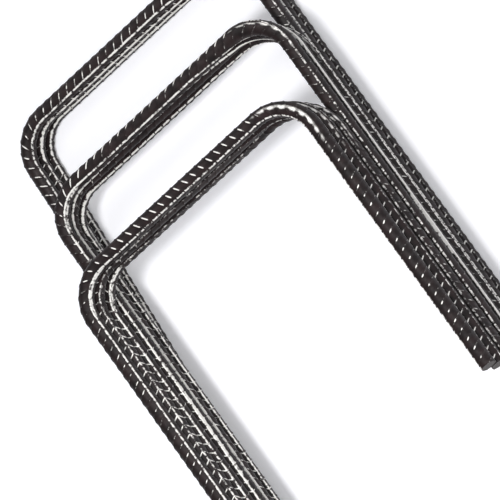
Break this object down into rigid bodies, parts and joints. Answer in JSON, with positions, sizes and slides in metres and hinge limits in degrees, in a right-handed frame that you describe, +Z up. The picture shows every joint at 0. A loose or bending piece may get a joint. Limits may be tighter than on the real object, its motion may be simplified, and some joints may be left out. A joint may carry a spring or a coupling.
{
  "type": "bundle of rebar stirrups",
  "caption": "Packs of U-shaped ribbed reinforcement stirrups lying flat on one another, stepped at their closed ends, used to tie the main bars of a concrete cage.",
  "frame": {"origin": "middle of the bundle's footprint, at floor level", "axes": "+X along the backs of the stirrups, +Y from the leg ends to the closed ends, +Z up"},
  "size_m": [0.2232, 0.3462, 0.0924],
  "materials": {
    "ribbed_bar": "hot-rolled steel with dark mill scale, worn bright on the rib crests"
  },
  "bodies": {
    "root": {"bottom_stirrup_1": "ribbed_bar", "bottom_stirrup_2": "ribbed_bar", "bottom_stirrup_3": "ribbed_bar", "middle_stirrup_1": "ribbed_bar", "middle_stirrup_2": "ribbed_bar", "middle_stirrup_3": "ribbed_bar", "top_stirrup_1": "ribbed_bar", "top_stirrup_2": "ribbed_bar", "top_stirrup_3": "ribbed_bar"}
  },
  "joints": []
}
